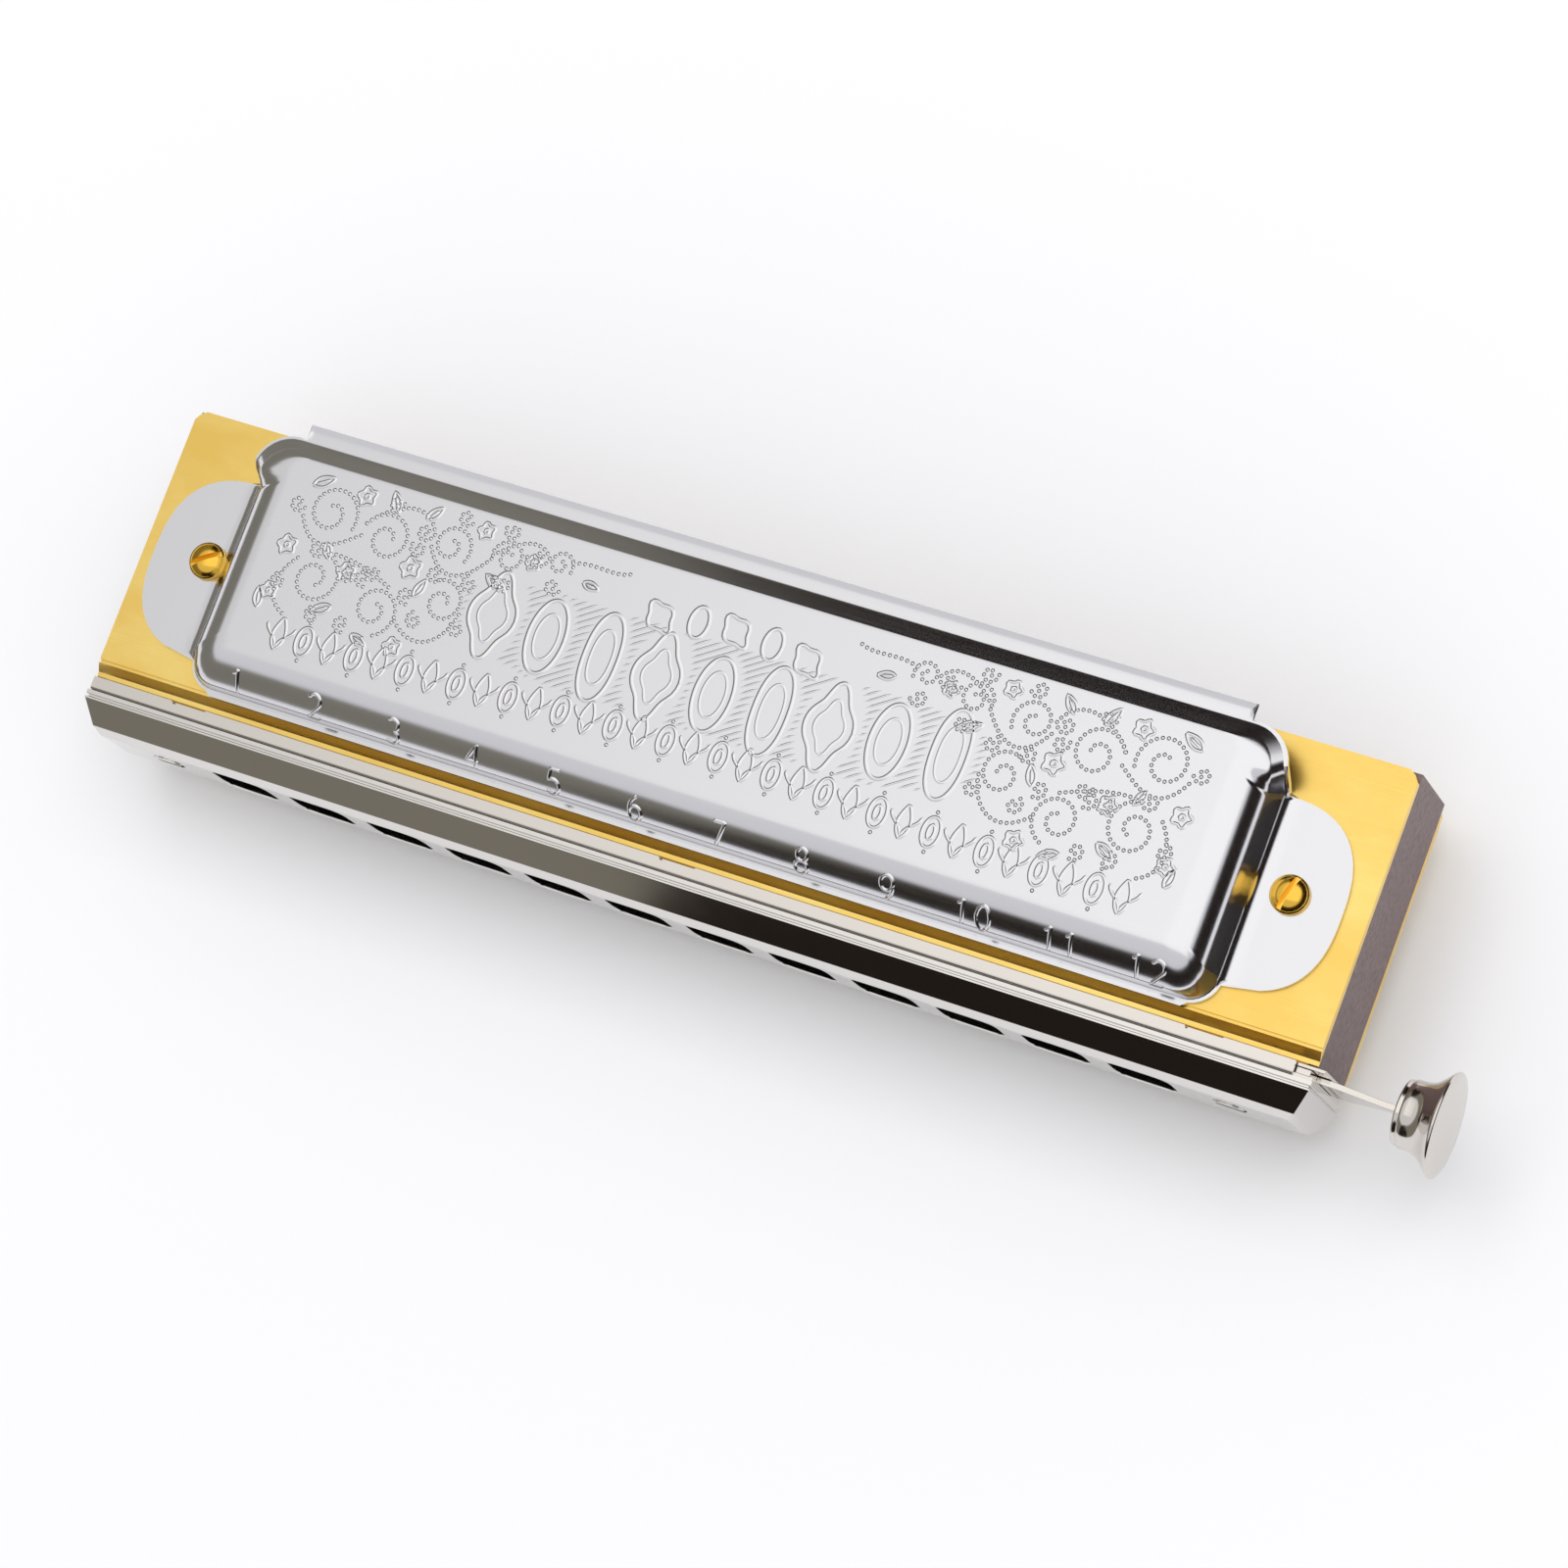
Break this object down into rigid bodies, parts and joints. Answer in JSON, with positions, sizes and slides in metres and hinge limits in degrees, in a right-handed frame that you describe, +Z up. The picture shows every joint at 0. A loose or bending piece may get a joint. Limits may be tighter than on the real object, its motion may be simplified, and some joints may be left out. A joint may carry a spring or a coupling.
{
  "type": "harmonica",
  "caption": "Slide chromatic harmonica with a wooden comb, brass reed plates, pressed steel covers, a bevelled mouthpiece and a sprung push button.",
  "frame": {"origin": "on the lower cover's flat face, which the instrument rests on, below the middle of the comb's length", "axes": "+X along the comb from the low notes to the push button, -Y is the played side, +Z up through the upper cover"},
  "size_m": [0.1528, 0.0382, 0.0251],
  "materials": {
    "stained_pearwood": "stained and lacquered",
    "rolled_brass": "rolled, satin",
    "reed_brass": "ground, bright",
    "fastener_brass": "turned, polished",
    "pressed_steel": "pressed, ornamented and polished",
    "chrome_plate": "mirror plated",
    "nickel_plate": "nickel plated, polished",
    "spring_steel": "drawn wire",
    "soft_rubber": "matte"
  },
  "bodies": {
    "body": {"comb": "stained_pearwood", "top_reed_plate": "rolled_brass", "top_reed_01": "reed_brass", "top_reed_02": "reed_brass", "top_reed_03": "reed_brass", "top_reed_04": "reed_brass", "top_reed_05": "reed_brass", "top_reed_06": "reed_brass", "top_reed_07": "reed_brass", "top_reed_08": "reed_brass", "top_reed_09": "reed_brass", "top_reed_10": "reed_brass", "top_reed_11": "reed_brass", "top_reed_12": "reed_brass", "top_plate_nail_1": "fastener_brass", "top_plate_nail_2": "fastener_brass", "top_plate_nail_3": "fastener_brass", "top_plate_nail_4": "fastener_brass", "top_cover": "pressed_steel", "bottom_reed_plate": "rolled_brass", "bottom_reed_01": "reed_brass", "bottom_reed_02": "reed_brass", "bottom_reed_03": "reed_brass", "bottom_reed_04": "reed_brass", "bottom_reed_05": "reed_brass", "bottom_reed_06": "reed_brass", "bottom_reed_07": "reed_brass", "bottom_reed_08": "reed_brass", "bottom_reed_09": "reed_brass", "bottom_reed_10": "reed_brass", "bottom_reed_11": "reed_brass", "bottom_reed_12": "reed_brass", "bottom_plate_nail_1": "fastener_brass", "bottom_plate_nail_2": "fastener_brass", "bottom_plate_nail_3": "fastener_brass", "bottom_plate_nail_4": "fastener_brass", "bottom_cover": "pressed_steel", "slide_back_plate": "nickel_plate", "slide_cage": "chrome_plate", "mouthpiece": "chrome_plate", "return_spring": "spring_steel", "slide_bumper": "soft_rubber", "cover_screw_left": "fastener_brass", "cover_screw_right": "fastener_brass", "cover_nut_left": "fastener_brass", "cover_nut_right": "fastener_brass", "mouthpiece_screw_left": "nickel_plate", "mouthpiece_screw_right": "nickel_plate"},
    "slide": {"slide": "nickel_plate", "slide_button": "nickel_plate"}
  },
  "joints": [
    {"name": "slide_push", "type": "slide", "parent": "body", "child": "slide", "axis": [-1, 0, 0], "range_m": [0, 0.0047], "stiffness_N_per_m": 200, "springref_m": -0.002, "deforming": ["return_spring"]}
  ]
}
